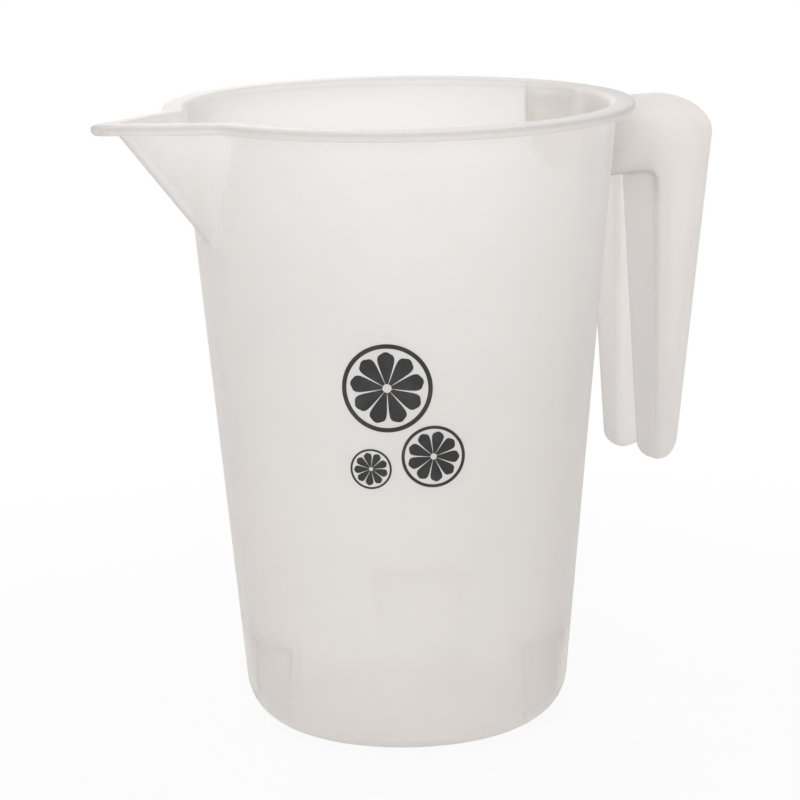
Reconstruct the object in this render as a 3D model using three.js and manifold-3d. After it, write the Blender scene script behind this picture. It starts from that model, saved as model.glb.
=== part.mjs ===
// A moulded polypropylene pitcher: tapered body, turned-down rim, V-shaped spout and a hooked handle.
// Millimetres, +Z up, spout towards -X, handle towards +X, standing on z = 0.
import * as THREE from 'three';
import { mergeVertices } from 'three/addons/utils/BufferGeometryUtils.js';
import Module from 'manifold-3d';

const wasm = await Module();
wasm.setup();

// Body
const HEIGHT = 188;
const WALL = 1.8;
const WALL_TOP_RADIUS = 64.6;
const WALL_BASE_RADIUS = 47.7;
const HEEL_RADIUS = 14.5;
const FOOT_WIDTH = 8;
const FOOT_RECESS = 1.0;
const GATE_RADIUS = 1.6;
const GATE_HEIGHT = 0.4;

// Rim, a plate turned down at its edge
const RIM_WIDTH = 5.4;
const RIM_PLATE = 1.8;
const RIM_HEIGHT = 3.2;
const RIM_EDGE = 1.6;
const RIM_ROUND = 3.0;
const EDGE_CHAMFER = 0.5;

// Spout
const SPOUT_OVERHANG = 28.3;
const SPOUT_DEPTH = 39.5;
const SPOUT_RIM_ANGLE = THREE.MathUtils.degToRad(16);
const LIP_WIDTH = 3.6;
const LIP_TIP_BLUNT = 2.0;
const PROW_RADIUS = 1.2;

// Handle
const HANDLE_PROJECTION = 43.2;
const HOOD_DEPTH = 22.1;
const HOOD_ROOT_HALF_WIDTH = 25;
const HOOD_ROOT_LEAN = 11;
const HOOD_SHOULDER_DROP = 12;
const HOOD_SHOULDER_LENGTH = 20;
const HOOD_CROWN_DROP = 13;
const HOOD_RIB_DROP = 4;
const GRIP_LENGTH = 91;
const GRIP_HALF_WIDTH = 13.25;
const GRIP_SIDE_DRAFT = THREE.MathUtils.degToRad(0.9);
const GRIP_BACK_DRAFT = THREE.MathUtils.degToRad(7.1);
const GRIP_BACK_ROUND = 12;
const GRIP_EDGE_SETBACK = 24.2;
const GRIP_CORNER_RADIUS = 3.5;
const GRIP_END_RADIUS = 8.5;
const GRIP_END_SETBACK = 13.5;
const GRIP_END_RISE = 18;
const FINGER_GAP = 9.3;
const FLANGE_DRAFT = THREE.MathUtils.degToRad(3.7);
const FLANGE_LAP = 6;
const RIB_THICKNESS = 2;

// Heel shoulders, short arcs where the wall steps inwards
const SHOULDER_HEIGHT = 30;
const SHOULDER_RADIUS = 47;
const SHOULDER_HALF_ANGLE = THREE.MathUtils.degToRad(17.5);
const SHOULDER_FROM_HANDLE = THREE.MathUtils.degToRad(56);

// Clearance between neighbouring pieces, and how far cutting tools run past what they cut
const JOINT_GAP = 0.3;
const TOOL_MARGIN = 30;
const TOOL_LAP = 1;

// Shares of a radius at which the outlines of hood and spout start inside the body
const HOOD_START = 0.8;
const VEE_START = 0.6;

// Facets
const ROUND_STEPS = 80;
const ARC_STEPS = 7;

// Heights and radii that follow from the sizes above
const taper = (WALL_TOP_RADIUS - WALL_BASE_RADIUS) / HEIGHT;
const slant = Math.hypot(1, taper);
const wallOuter = (z) => WALL_BASE_RADIUS + taper * z;
const wallInner = (z) => wallOuter(z) - WALL * slant;
const heelCentre = wallOuter(HEEL_RADIUS) - HEEL_RADIUS * slant;
const heelTop = HEEL_RADIUS * (1 - taper / slant);
const wallTop = HEIGHT - RIM_PLATE;
const rimUnderside = HEIGHT - RIM_HEIGHT;
const rimRadius = WALL_TOP_RADIUS + RIM_WIDTH;
const spoutReach = rimRadius + SPOUT_OVERHANG;
const handleReach = WALL_TOP_RADIUS + HANDLE_PROJECTION;
const hoodTop = rimUnderside - JOINT_GAP;
const hoodBottom = hoodTop - HOOD_DEPTH;
const gripEnd = hoodBottom - GRIP_LENGTH;

// Solids

function toManifold(geometry) {
  geometry.deleteAttribute('normal');
  geometry.deleteAttribute('uv');
  const merged = mergeVertices(geometry, 1e-4);
  const corners = merged.index.array;
  const triangles = [];
  for (let i = 0; i < corners.length; i += 3) {
    const [a, b, c] = [corners[i], corners[i + 1], corners[i + 2]];
    if (a !== b && b !== c && c !== a) triangles.push(a, b, c);
  }
  return new wasm.Manifold(new wasm.Mesh({
    numProp: 3,
    vertProperties: new Float32Array(merged.attributes.position.array),
    triVerts: new Uint32Array(triangles),
  }));
}

function toGeometry(manifold) {
  const mesh = manifold.getMesh();
  const geometry = new THREE.BufferGeometry();
  geometry.setAttribute('position', new THREE.BufferAttribute(mesh.vertProperties, 3));
  geometry.setIndex(new THREE.BufferAttribute(mesh.triVerts, 1));
  geometry.computeVertexNormals();
  return geometry;
}

// A profile of [radius, height] points, up the outside and down the inside, turned about the body axis
function revolve(profile) {
  const points = profile.map(([radius, z]) => new THREE.Vector2(radius, z));
  const geometry = new THREE.LatheGeometry(points, ROUND_STEPS);
  geometry.rotateX(Math.PI / 2);
  return toManifold(geometry);
}

function closed(profile) {
  return [...profile, profile[0]];
}

// A plan outline raised from one height to another
function raise(shape, bottom, top) {
  const options = { depth: top - bottom, bevelEnabled: false, curveSegments: ARC_STEPS * 2 };
  const geometry = new THREE.ExtrudeGeometry(shape, options);
  geometry.translate(0, 0, bottom);
  return geometry;
}

// A side outline in X and Z, drawn out from y = -halfWidth to y = +halfWidth
function drawOut(shape, halfWidth) {
  const geometry = raise(shape, -halfWidth, halfWidth);
  geometry.rotateX(Math.PI / 2);
  return geometry;
}

// Horizontal outlines, listed from the lowest up, skinned into one closed solid
function loft(sections) {
  const count = sections[0].points.length;
  const positions = sections.flatMap(({ z, points }) => points.flatMap((p) => [p.x, p.y, z]));
  const triangles = [];
  for (let level = 0; level + 1 < sections.length; level += 1) {
    for (let i = 0; i < count; i += 1) {
      const next = (i + 1) % count;
      const [a, b] = [level * count + i, level * count + next];
      triangles.push(a, b, b + count, a, b + count, a + count);
    }
  }
  const lastLevel = (sections.length - 1) * count;
  for (const [a, b, c] of THREE.ShapeUtils.triangulateShape(sections[0].points, [])) {
    triangles.push(c, b, a);
  }
  for (const [a, b, c] of THREE.ShapeUtils.triangulateShape(sections.at(-1).points, [])) {
    triangles.push(lastLevel + a, lastLevel + b, lastLevel + c);
  }
  const geometry = new THREE.BufferGeometry();
  geometry.setAttribute('position', new THREE.Float32BufferAttribute(positions, 3));
  geometry.setIndex(triangles);
  return toManifold(geometry);
}

function arc(centreX, centreY, radius, from, to, steps = ARC_STEPS) {
  return Array.from({ length: steps + 1 }, (_, i) => {
    const angle = from + ((to - from) * i) / steps;
    return [centreX + radius * Math.cos(angle), centreY + radius * Math.sin(angle)];
  });
}

// The whole outside of the body, filled, and grown outwards by a clearance
function bodyEnvelope(clearance = 0) {
  const heel = arc(heelCentre, HEEL_RADIUS, HEEL_RADIUS + clearance, -Math.PI / 2, -Math.atan(taper));
  const top = HEIGHT + TOOL_MARGIN;
  return revolve([[0, -clearance], ...heel, [wallOuter(top) + clearance * slant, top], [0, top]]);
}

// Floor, heel and wall

function makeFloor() {
  const footOuter = heelCentre - JOINT_GAP;
  const recess = footOuter - FOOT_WIDTH;
  const step = recess - FOOT_RECESS;
  return revolve([
    [0, FOOT_RECESS - GATE_HEIGHT],
    [GATE_RADIUS / 2, FOOT_RECESS - GATE_HEIGHT],
    [GATE_RADIUS, FOOT_RECESS],
    [step, FOOT_RECESS],
    [recess, 0],
    [footOuter, 0],
    [footOuter, WALL],
    [recess, WALL],
    [step, WALL + FOOT_RECESS],
    [0, WALL + FOOT_RECESS],
  ]);
}

function makeHeel(shoulderCuts) {
  const outside = arc(heelCentre, HEEL_RADIUS, HEEL_RADIUS, -Math.PI / 2, -Math.atan(taper));
  const insideRadius = HEEL_RADIUS - WALL;
  const insideTop = -Math.asin((HEEL_RADIUS - heelTop) / insideRadius);
  const inside = arc(heelCentre, HEEL_RADIUS, insideRadius, insideTop, -Math.PI / 2);
  return shoulderCuts.reduce((heel, cut) => heel.subtract(cut), revolve(closed([...outside, ...inside])));
}

function makeWall(shoulderCuts) {
  const shell = revolve(closed([
    [wallOuter(heelTop), heelTop],
    [wallOuter(wallTop), wallTop],
    [wallInner(wallTop), wallTop],
    [wallInner(heelTop), heelTop],
  ]));
  const cuts = [...shoulderCuts, spoutVee(WALL)];
  return cuts.reduce((wall, cut) => wall.subtract(cut), shell);
}

// Heel shoulders: the wall steps inwards over a short arc, open outside and below

function sector(middle, halfAngle, inner, top) {
  const outer = rimRadius + TOOL_MARGIN;
  const shape = new THREE.Shape();
  shape.absarc(0, 0, outer, middle - halfAngle, middle + halfAngle, false);
  shape.absarc(0, 0, inner, middle + halfAngle, middle - halfAngle, true);
  return toManifold(raise(shape, -TOOL_MARGIN, top));
}

function grownSector(middle, growth) {
  const halfAngle = SHOULDER_HALF_ANGLE + growth / SHOULDER_RADIUS;
  return sector(middle, halfAngle, SHOULDER_RADIUS - growth, SHOULDER_HEIGHT + growth);
}

function makeShoulder(middle) {
  return grownSector(middle, WALL).subtract(grownSector(middle, 0)).intersect(bodyEnvelope());
}

// Rim and spout

// A plan vee that points to -X, with a rounded tip, open-ended towards the body axis
function vee(apex, tipRadius) {
  const centre = tipRadius / Math.sin(veeAngle) - apex;
  const side = Math.PI / 2 + veeAngle;
  const tail = rimRadius * VEE_START;
  const tailY = (apex - tail) * Math.tan(veeAngle);
  const shape = new THREE.Shape();
  shape.moveTo(-tail, -tailY);
  shape.lineTo(-tail, tailY);
  shape.absarc(centre, 0, tipRadius, side, 2 * Math.PI - side, false);
  return shape;
}

const lipApex = spoutReach + LIP_TIP_BLUNT;
const rimX = rimRadius * Math.cos(SPOUT_RIM_ANGLE);
const rimY = rimRadius * Math.sin(SPOUT_RIM_ANGLE);
const veeAngle = Math.atan2(rimY, lipApex - rimX);
const roundLoss = 1 / Math.sin(veeAngle) - 1;
const lipTipRadius = LIP_TIP_BLUNT / roundLoss;
const flankApex = lipApex - LIP_WIDTH / Math.sin(veeAngle);
const prowTip = flankApex - PROW_RADIUS * roundLoss;
const spoutFoot = HEIGHT - SPOUT_DEPTH;
const prowSlope = (prowTip - wallOuter(spoutFoot)) / (wallTop - spoutFoot);
const flankTilt = Math.atan(prowSlope * Math.sin(veeAngle));

// The outline of the spout at the rim, pushed down along the slope of its prow and set in by a wall
function spoutVee(setIn) {
  const levelSetIn = setIn / Math.cos(flankTilt);
  const tipRadius = Math.max(PROW_RADIUS - levelSetIn, PROW_RADIUS / 2);
  const shape = vee(flankApex - levelSetIn / Math.sin(veeAngle), tipRadius);
  const geometry = raise(shape, spoutFoot - TOOL_MARGIN, HEIGHT + TOOL_MARGIN);
  const slope = new THREE.Matrix4();
  slope.makeShear(0, 0, 0, 0, -prowSlope, 0);
  geometry.translate(0, 0, -wallTop);
  geometry.applyMatrix4(slope);
  geometry.translate(0, 0, wallTop);
  return toManifold(geometry);
}

function slab(bottom, top) {
  const reach = handleReach + spoutReach;
  const shape = new THREE.Shape();
  shape.moveTo(-reach, -reach);
  shape.lineTo(reach, -reach);
  shape.lineTo(reach, reach);
  shape.lineTo(-reach, reach);
  return toManifold(raise(shape, bottom, top));
}

function makeSpout() {
  const flanks = spoutVee(0).subtract(spoutVee(WALL));
  return flanks.intersect(slab(spoutFoot - TOOL_MARGIN, wallTop)).subtract(bodyEnvelope(JOINT_GAP));
}

function lipVee(setIn, bottom, top) {
  const apex = lipApex - setIn / Math.sin(veeAngle);
  return toManifold(raise(vee(apex, lipTipRadius - setIn), bottom, top));
}

function makeLip() {
  const top = HEIGHT - EDGE_CHAMFER;
  const plate = lipVee(0, wallTop, top).add(lipVee(EDGE_CHAMFER, wallTop, HEIGHT));
  const edge = lipVee(0, rimUnderside, top).subtract(lipVee(RIM_EDGE, rimUnderside - TOOL_LAP, wallTop));
  const mouth = wallInner(wallTop);
  const wellFloor = rimUnderside - TOOL_LAP;
  const wellTop = HEIGHT + TOOL_LAP;
  const well = revolve([[0, wellFloor], [mouth, wellFloor], [mouth, wellTop], [0, wellTop]]);
  const underRim = revolve([
    [0, wellFloor],
    [rimRadius - RIM_EDGE, wellFloor],
    [rimRadius - RIM_EDGE, wallTop],
    [0, wallTop],
  ]);
  const flange = plate.add(edge.subtract(underRim)).subtract(spoutVee(WALL)).subtract(well);
  return flange.intersect(sector(Math.PI, SPOUT_RIM_ANGLE, TOOL_LAP, wellTop));
}

function makeRim() {
  const inner = wallInner(wallTop);
  const ring = revolve(closed([
    [rimRadius - RIM_EDGE, wallTop],
    [rimRadius - RIM_EDGE, rimUnderside],
    [rimRadius, rimUnderside],
    [rimRadius, HEIGHT - EDGE_CHAMFER],
    [rimRadius - EDGE_CHAMFER, HEIGHT],
    ...arc(0, 0, 1, Math.PI / 2, Math.PI, ARC_STEPS - 2).map(([x, z]) => {
      return [inner + RIM_ROUND * (1 + x), wallTop + RIM_PLATE * z];
    }),
  ]));
  const halfAngle = SPOUT_RIM_ANGLE + JOINT_GAP / rimRadius;
  return ring.subtract(sector(Math.PI, halfAngle, TOOL_LAP, HEIGHT + TOOL_LAP));
}

// Handle: a hood under the rim, and a grip of open channel section that hangs from it

const shoulderStart = hoodTop - HOOD_SHOULDER_DROP;
const crownStart = hoodTop - HOOD_CROWN_DROP;
const gripHalfWidth = (z) => GRIP_HALF_WIDTH - (hoodBottom - z) * Math.tan(GRIP_SIDE_DRAFT);
const gripBack = (z) => handleReach - (shoulderStart - z) * Math.tan(GRIP_BACK_DRAFT);
const gripEdge = handleReach - (shoulderStart - hoodBottom) * Math.tan(GRIP_BACK_DRAFT) - GRIP_EDGE_SETBACK;
const flangeEdge = (z) => wallOuter(hoodBottom) + FINGER_GAP + (hoodBottom - z) * Math.tan(FLANGE_DRAFT);

function roundedShare(distance, reach) {
  return Math.sqrt(Math.max(1 - (distance / reach) ** 2, 0));
}

// Back and half width of the hood at a height: its top is a crowned shoulder
function hoodSize(z, top) {
  const crown = top - hoodTop;
  const overShoulder = Math.max(z - shoulderStart - crown, 0);
  const overCrown = Math.max(z - crownStart - crown, 0);
  const straight = Math.min(z, shoulderStart + crown);
  const shoulderShare = roundedShare(overShoulder, HOOD_SHOULDER_DROP + JOINT_GAP);
  const shoulderLoss = HOOD_SHOULDER_LENGTH * (1 - shoulderShare);
  const crownShare = roundedShare(overCrown, HOOD_CROWN_DROP + 2 * JOINT_GAP);
  return {
    back: gripBack(straight) - shoulderLoss,
    halfWidth: gripHalfWidth(Math.min(z, crownStart + crown)) * crownShare,
  };
}

// One plan outline: a flared root on the body, which narrows towards the lower edge, sides flush with the
// grip, and a round back
function hoodOutline(z, top, setIn) {
  const { back, halfWidth } = hoodSize(z, top);
  const lean = HOOD_ROOT_LEAN * ((hoodTop - z) / HOOD_DEPTH) ** 3;
  const root = new THREE.Vector2(wallOuter(z) * HOOD_START, HOOD_ROOT_HALF_WIDTH - lean - setIn);
  const waist = new THREE.Vector2(back - setIn - GRIP_BACK_ROUND, halfWidth - setIn);
  const flareStart = new THREE.Vector2(Math.sqrt(wallOuter(z) ** 2 - root.y ** 2), root.y);
  const flareEnd = new THREE.Vector2(Math.min(waist.x, gripEdge) - JOINT_GAP, waist.y);
  const bend = new THREE.Vector2((flareStart.x + flareEnd.x) / 2, waist.y);
  const flare = new THREE.QuadraticBezierCurve(flareStart, bend, flareEnd).getPoints(ARC_STEPS);
  const backArc = arc(0, 0, 1, Math.PI / 2, 0).slice(1).map(([x, y]) => {
    return new THREE.Vector2(waist.x + GRIP_BACK_ROUND * x, waist.y * y);
  });
  const upper = [root, ...flare, waist, ...backArc];
  const lower = upper.slice(0, -1).reverse().map((p) => new THREE.Vector2(p.x, -p.y));
  return [...upper, ...lower].reverse();
}

function hoodSolid(setIn, bottom) {
  const top = hoodTop - setIn;
  const rise = arc(0, crownStart - setIn, HOOD_CROWN_DROP, 0, Math.PI / 2, ARC_STEPS + 2).map(([, z]) => z);
  const heights = [bottom, hoodBottom + HOOD_DEPTH / 5, ...rise];
  return loft(heights.map((z) => ({ z, points: hoodOutline(z, top, setIn) })));
}

function makeHood() {
  const hollow = hoodSolid(WALL, hoodBottom - TOOL_LAP);
  return hoodSolid(0, hoodBottom).subtract(hollow).subtract(bodyEnvelope(JOINT_GAP));
}

// A web on the middle plane that ties the back of the hood to the body
function makeRib() {
  const bottom = hoodBottom + HOOD_RIB_DROP;
  const reach = handleReach + TOOL_MARGIN;
  const shape = new THREE.Shape();
  shape.moveTo(0, bottom);
  shape.lineTo(reach, bottom);
  shape.lineTo(reach, HEIGHT);
  shape.lineTo(0, HEIGHT);
  const web = toManifold(drawOut(shape, RIB_THICKNESS / 2));
  return web.intersect(hoodSolid(WALL + JOINT_GAP, hoodBottom - TOOL_LAP)).subtract(bodyEnvelope(JOINT_GAP));
}

// Side view of what hangs below the hood: a tongue with a round end, open past the back of the grip
function gripSide(top) {
  const frontZ = gripEnd + GRIP_END_RADIUS;
  const backZ = gripEnd + GRIP_END_RISE;
  const backX = gripBack(backZ) + JOINT_GAP;
  const endX = backX - GRIP_END_SETBACK;
  const frontX = flangeEdge(frontZ);
  const shape = new THREE.Shape();
  shape.moveTo(flangeEdge(top), top);
  shape.lineTo(frontX, frontZ);
  shape.absellipse(endX, frontZ, endX - frontX, GRIP_END_RADIUS, Math.PI, 1.5 * Math.PI, false, 0);
  shape.absellipse(endX, backZ, backX - endX, GRIP_END_RISE, 1.5 * Math.PI, 2 * Math.PI, false, 0);
  shape.lineTo(gripBack(top) + TOOL_MARGIN, top);
  return shape;
}

function gripOutline(z, setIn) {
  const halfWidth = gripHalfWidth(z) - setIn;
  const waist = gripBack(z) - setIn - GRIP_BACK_ROUND;
  const backArc = arc(0, 0, 1, -Math.PI / 2, Math.PI / 2, ARC_STEPS * 2).map(([x, y]) => {
    return new THREE.Vector2(waist + GRIP_BACK_ROUND * x, halfWidth * y);
  });
  return [new THREE.Vector2(0, -halfWidth), ...backArc, new THREE.Vector2(0, halfWidth)];
}

function gripSolid(setIn, bottom, top) {
  return loft([bottom, top].map((z) => ({ z, points: gripOutline(z, setIn) })));
}

// The front edge of the grip, with a rounded corner under the hood
function gripFrontCut() {
  const bottom = gripEnd - TOOL_MARGIN;
  const corner = GRIP_CORNER_RADIUS;
  const shape = new THREE.Shape();
  shape.moveTo(0, bottom);
  shape.lineTo(gripEdge, bottom);
  shape.absarc(gripEdge - corner, hoodBottom - corner, corner, 0, Math.PI / 2, false);
  shape.lineTo(0, hoodBottom);
  return toManifold(drawOut(shape, HOOD_ROOT_HALF_WIDTH));
}

function makeGrip() {
  const bottom = gripEnd - TOOL_LAP;
  const hollow = gripSolid(WALL, bottom - TOOL_LAP, hoodBottom + TOOL_LAP);
  const shell = gripSolid(0, bottom, hoodBottom).subtract(hollow);
  const side = toManifold(drawOut(gripSide(hoodBottom), HOOD_ROOT_HALF_WIDTH));
  return shell.subtract(gripFrontCut()).intersect(side);
}

// A flat flange inside each side of the grip, whose free edge faces the body
function makeFlange(side) {
  const top = hoodBottom + FLANGE_LAP;
  const lapBack = gripEdge + FLANGE_LAP;
  const outline = toManifold(drawOut(gripSide(top), HOOD_ROOT_HALF_WIDTH));
  const bottom = gripEnd - TOOL_LAP;
  const outer = gripSolid(WALL + JOINT_GAP, bottom, top);
  const inner = gripSolid(2 * WALL + JOINT_GAP, bottom - TOOL_LAP, top + TOOL_LAP);
  const shape = new THREE.Shape();
  shape.moveTo(0, gripEnd - TOOL_MARGIN);
  shape.lineTo(lapBack, gripEnd - TOOL_MARGIN);
  shape.lineTo(lapBack, top);
  shape.lineTo(0, top);
  const half = drawOut(shape, HOOD_ROOT_HALF_WIDTH / 2);
  half.translate(0, (side * HOOD_ROOT_HALF_WIDTH) / 2, 0);
  return outer.subtract(inner).intersect(outline).intersect(toManifold(half));
}

// Assembly

const polypropylene = { color: 0xe9e6e0, roughness: 0.42, metalness: 0 };

function piece(name, solid) {
  const mesh = new THREE.Mesh(toGeometry(solid), new THREE.MeshStandardMaterial(polypropylene));
  mesh.name = name;
  return mesh;
}

const shoulderAngles = {
  heel_shoulder_spout: Math.PI,
  heel_shoulder_left: -SHOULDER_FROM_HANDLE,
  heel_shoulder_right: SHOULDER_FROM_HANDLE,
};
const shoulderCuts = Object.values(shoulderAngles).map((angle) => grownSector(angle, WALL + JOINT_GAP));

const body = new THREE.Group();
body.add(piece('floor', makeFloor()));
body.add(piece('heel', makeHeel(shoulderCuts)));
body.add(piece('body_wall', makeWall(shoulderCuts)));
body.add(piece('rim_flange', makeRim()));
for (const [name, angle] of Object.entries(shoulderAngles)) {
  body.add(piece(name, makeShoulder(angle)));
}

const spout = new THREE.Group();
spout.add(piece('spout_flanks', makeSpout()));
spout.add(piece('spout_lip', makeLip()));

const handle = new THREE.Group();
handle.add(piece('handle_hood', makeHood()));
handle.add(piece('hood_rib', makeRib()));
handle.add(piece('handle_grip', makeGrip()));
handle.add(piece('handle_flange_left', makeFlange(-1)));
handle.add(piece('handle_flange_right', makeFlange(1)));

const pitcher = new THREE.Group();
pitcher.add(body, spout, handle);
pitcher.position.x = (spoutReach - handleReach) / 2;

export default pitcher;
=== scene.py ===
"""Moulded pitcher of translucent polypropylene, with a printed motif, on a white studio floor."""
import math

import bmesh
import bpy
from mathutils import Matrix, Vector


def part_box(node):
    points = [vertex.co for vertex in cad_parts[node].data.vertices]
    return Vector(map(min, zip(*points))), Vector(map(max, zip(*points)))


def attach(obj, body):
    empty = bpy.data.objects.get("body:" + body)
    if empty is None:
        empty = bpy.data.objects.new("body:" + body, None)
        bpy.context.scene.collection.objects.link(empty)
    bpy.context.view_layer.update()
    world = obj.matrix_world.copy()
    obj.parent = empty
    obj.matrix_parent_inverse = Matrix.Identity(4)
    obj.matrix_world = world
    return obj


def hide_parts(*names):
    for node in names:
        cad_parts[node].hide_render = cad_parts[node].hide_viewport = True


bl_info = {
    "name": "Moulded Pitcher",
    "version": (1, 0, 0),
    "blender": (4, 5, 0),
    "location": "View3D > Sidebar > Pitcher",
    "description": "Builds a translucent moulded pitcher, its printed motif and its studio",
    "category": "Mesh",
}

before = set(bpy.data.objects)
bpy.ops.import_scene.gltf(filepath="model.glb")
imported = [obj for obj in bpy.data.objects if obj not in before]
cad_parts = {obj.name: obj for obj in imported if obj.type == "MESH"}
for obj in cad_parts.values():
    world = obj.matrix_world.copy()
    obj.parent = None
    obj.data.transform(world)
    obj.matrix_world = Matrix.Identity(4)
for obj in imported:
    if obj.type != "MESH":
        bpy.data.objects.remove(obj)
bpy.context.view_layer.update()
FLOOR_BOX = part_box("floor")
AXIS_X = (FLOOR_BOX[0][0] + FLOOR_BOX[1][0]) / 2
BODY_NODES = (
    "floor",
    "heel",
    "body_wall",
    "rim_flange",
    "heel_shoulder_spout",
    "heel_shoulder_left",
    "heel_shoulder_right",
    "spout_flanks",
    "spout_lip",
)
HANDLE_NODES = ("handle_hood", "hood_rib", "handle_grip", "handle_flange_left", "handle_flange_right")
SMOOTH_ANGLE = math.radians(32)
MERGE_DISTANCE = 2e-6
WHITE = (1.0, 1.0, 1.0, 1.0)

# Painted shade on the body, from 0 to 1: dark bands on the rim, along the prow, on the stepped panels and
# their steps, at the foot and on the wall where the hood is behind it
PROW_SHADE = 0.8
PANEL_SHADE = 0.16
STEP_LINE_SHADE = 0.65
RIM_FACE_SHADE = 0.25
RIM_EDGE_SHADE = 0.8
RIM_LOW_SHADE = 0.5
FOOT_SHADE = 0.5
ROOT_PANEL_SHADE = 0.42
ROOT_PANEL_LOW_SHADE = 0.5
ROOT_PANEL_SIDE_SHADE_LOSS = 0.36

# Painted shade on the handle, from 0 to 1: along the open edge, on the flanges, behind their laps, near
# the body and on the crown
EDGE_SHADE_UPRIGHT_LOSS = 0.28
EDGE_SHADE_LOW_LOSS = 0.15
FLANGE_SHADE = 0.4
FLANGE_LOW_SHADE = 0.3
LAP_SHADE = 0.22
LAP_LOW_SHADE = 0.42
HANDLE_ROOT_SHADE = 0.6
CROWN_SHADE = 0.5

# Where shade is painted: what the colour keeps, and what it takes of the light and the view through it
SHADE_TONE = 0.6
SHADE_LIGHT_LOSS = 0.5
SHADE_VIEW_LOSS = 0.6

# Polypropylene
REFRACTION = 1.49
MOTTLE_DARK = 0.97
MOTTLE_PALE = 1.025


# Sizes and colours that a user would change


def setting(kind, **fixed):
    """A maker of settings of one kind, from a name, a description and a default."""

    def make(name, description, default, **more):
        return kind(name=name, description=description, default=default, **fixed, **more)

    return make


number = setting(bpy.props.FloatProperty)
whole = setting(bpy.props.IntProperty)
length = setting(bpy.props.FloatProperty, unit="LENGTH", subtype="DISTANCE", precision=4)
tilt = setting(bpy.props.FloatProperty, unit="ROTATION", subtype="ANGLE")
share = setting(bpy.props.FloatProperty, min=0.0, max=1.0, subtype="FACTOR")
power = setting(bpy.props.FloatProperty, min=0.0, unit="POWER", subtype="POWER")
colour = setting(bpy.props.FloatVectorProperty, size=3, min=0.0, max=1.0, subtype="COLOR")
place_and_radius = setting(bpy.props.FloatVectorProperty, size=3, unit="LENGTH", precision=4)


def angle(name, description, degrees):
    """An angle, given in degrees."""
    return tilt(name, description, math.radians(degrees))


class PitcherBodySizes(bpy.types.PropertyGroup):
    """Sizes of the body, its rim and its heel."""

    height: length("Height", "Table to the top of the rim", 0.188)
    wall: length("Wall", "Thickness of the moulding", 0.0018)
    top_radius: length("Top radius", "Outside of the wall at the rim", 0.0646)
    base_radius: length("Base radius", "Outside of the wall where it would meet the table", 0.0477)
    heel_radius: length("Heel radius", "Round corner between wall and floor", 0.0145)
    foot_width: length("Foot width", "Flat ring that the pitcher stands on", 0.008)
    foot_recess: length("Foot recess", "How far the floor is raised inside the foot", 0.001)
    # Foot line: height of the painted shade at the foot
    foot_line: length("Foot line", "Height of the denser edge at the foot", 0.004)
    gate_radius: length("Gate radius", "Mark of the mould's gate under the floor", 0.0016)
    gate_height: length("Gate height", "How far the gate mark stands out", 0.0004)
    rim_width: length("Rim width", "How far the rim stands out from the wall", 0.0054)
    rim_plate: length("Rim plate", "Thickness of the rim", 0.0018)
    rim_height: length("Rim height", "Height of the turned-down edge", 0.0032)
    rim_edge: length("Rim edge", "Thickness of the turned-down edge", 0.0016)
    rim_round: length("Rim rounding", "Rounding of the mouth's inner edge", 0.0018)
    edge_round: length("Edge rounding", "Rounding of the rim's outer edges and the panels' steps", 0.0005)
    shoulder_height: length("Shoulder height", "Top of the stepped panels above the heel", 0.030)
    shoulder_radius: length("Shoulder radius", "How far in the stepped panels lie", 0.047)
    shoulder_half_angle: angle("Shoulder half angle", "Half of the arc of a stepped panel", 17.5)
    shoulder_taper: angle("Shoulder taper", "How much narrower a panel is at the heel", 4.5)
    shoulder_from_handle: angle("Shoulder place", "From the handle to the side panels", 56.0)
    columns: whole("Columns", "Faces around the body", 504, min=96)


class PitcherSpoutSizes(bpy.types.PropertyGroup):
    """Sizes of the spout."""

    apex: length("Apex", "From the axis to where the spout's flanks meet at the lip", 0.0932)
    half_angle: angle("Half angle", "Between a flank and the plane of symmetry", 30.3)
    slope: number("Prow slope", "How fast the prow runs out", 0.82)
    lip_width: length("Lip width", "How far the lip stands out from the flanks", 0.0036)
    lip_level: length("Lip level", "Height at which the flanks turn out into the lip", 0.1862)
    prow_round: angle("Prow rounding", "Arc over which the flanks round into each other", 0.75)
    # Prow width: width of the painted shade along the prow
    prow_width: length("Prow width", "Width over which the plastic is thicker along the prow", 0.005)
    blend: length("Blend", "Width of the soft line between flank and wall", 0.0016)


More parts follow.
